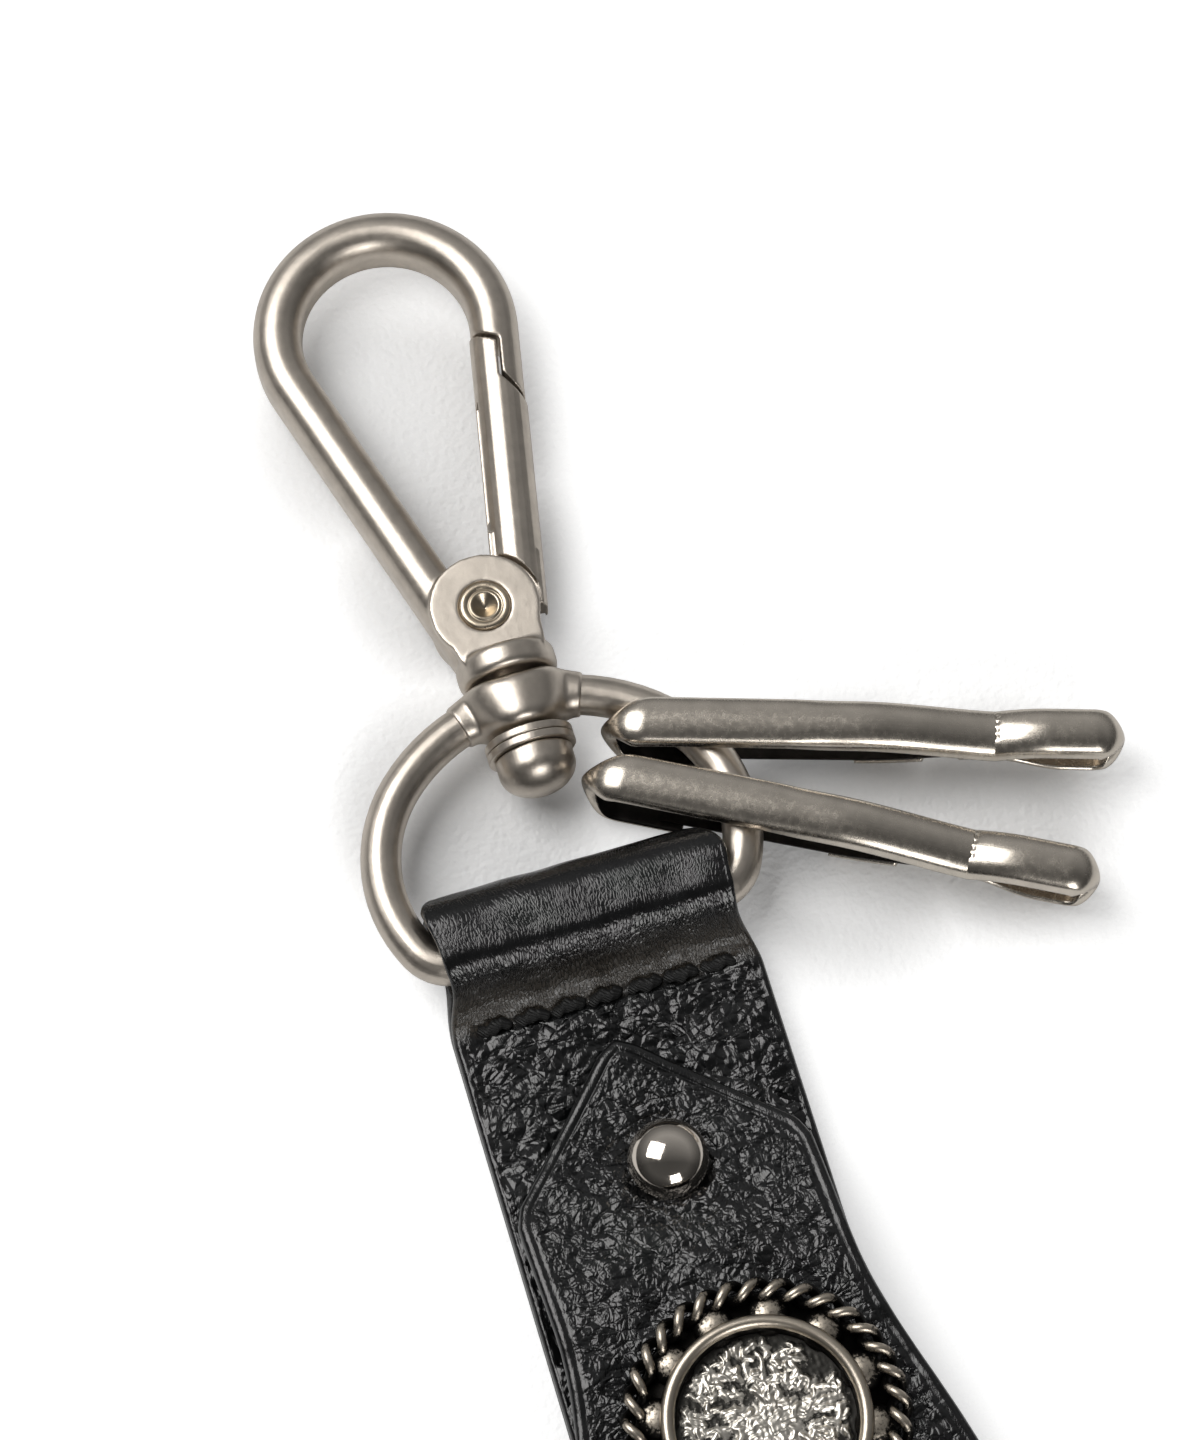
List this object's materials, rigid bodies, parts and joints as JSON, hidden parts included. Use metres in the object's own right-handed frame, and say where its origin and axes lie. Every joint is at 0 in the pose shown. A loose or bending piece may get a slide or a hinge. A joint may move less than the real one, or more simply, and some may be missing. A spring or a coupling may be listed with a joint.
{
  "type": "leather keyring",
  "caption": "Black leather belt-loop keyring: folded strap with snap-down pointed flap and round concho, D ring, swivel snap hook with sprung gate, and two slim key clips.",
  "frame": {"origin": "on the strap's flat back, under the middle of the stitch line", "axes": "+Y along the strap towards the hook, +Z out of the front of the strap, +X to the side of the key clips"},
  "size_m": [0.0662, 0.1645, 0.0107],
  "materials": {
    "leather": "smooth black, fine grain",
    "thread": "black waxed thread",
    "nickel": "satin, fine blasted grain",
    "clip_steel": "brighter, lightly scratched satin",
    "spring_steel": "dark oil-blackened spring steel",
    "stud_steel": "polished",
    "antique_silver": "antiqued, dark in the hollows",
    "disc_silver": "worn, low hammered relief"
  },
  "bodies": {
    "strap": {"strap_leather": "leather", "stitching": "thread", "snap_stud": "stud_steel", "snap_rivet": "nickel"},
    "flap": {"flap_leather": "leather", "dome_stud": "stud_steel", "dome_stud_washer": "nickel", "concho_mount": "antique_silver", "concho_rope": "antique_silver", "concho_disc": "disc_silver", "concho_post": "nickel", "snap_socket": "nickel"},
    "ring": {"ring_wire": "nickel", "swivel_boss": "nickel"},
    "hook": {"hook_body": "nickel", "swivel_pin": "nickel", "swivel_washer_inner": "clip_steel", "swivel_washer_outer": "clip_steel", "gate_rivet": "clip_steel", "gate_spring": "spring_steel"},
    "gate": {"gate": "nickel"},
    "clip_upper": {"key_clip_upper": "clip_steel", "clip_leaf_upper": "spring_steel"},
    "clip_lower": {"key_clip_lower": "clip_steel", "clip_leaf_lower": "spring_steel"}
  },
  "joints": [
    {"name": "flap_open", "type": "hinge", "parent": "strap", "child": "flap", "pos_m": [0, -0.0882, 0.0039], "axis": [1, 0, 0], "range_deg": [0, 90]},
    {"name": "ring_swing", "type": "hinge", "parent": "strap", "child": "ring", "pos_m": [0, 0.0059, 0.00445], "axis": [1, 0, 0], "range_deg": [-90, 90]},
    {"name": "hook_swivel", "type": "hinge", "parent": "ring", "child": "hook", "pos_m": [0, 0.0299, 0.00445], "axis": [0, 1, 0], "continuous": true},
    {"name": "gate_open", "type": "hinge", "parent": "hook", "child": "gate", "pos_m": [-0.0004, 0.0355, 0.00445], "axis": [0, 0, 1], "range_deg": [0, 26], "stiffness_Nm_per_rad": 0.03, "springref_deg": -20.05},
    {"name": "clip_upper_tilt", "type": "hinge", "parent": "ring", "child": "clip_upper", "pos_m": [0.01353, 0.02022, 0.00445], "axis": [-0.3032, -0.9529, 0], "range_deg": [-7, 7]},
    {"name": "clip_lower_tilt", "type": "hinge", "parent": "ring", "child": "clip_lower", "pos_m": [0.0155, 0.01224, 0.00445], "axis": [-0.4741, -0.8805, 0], "range_deg": [-25, 25]}
  ]
}
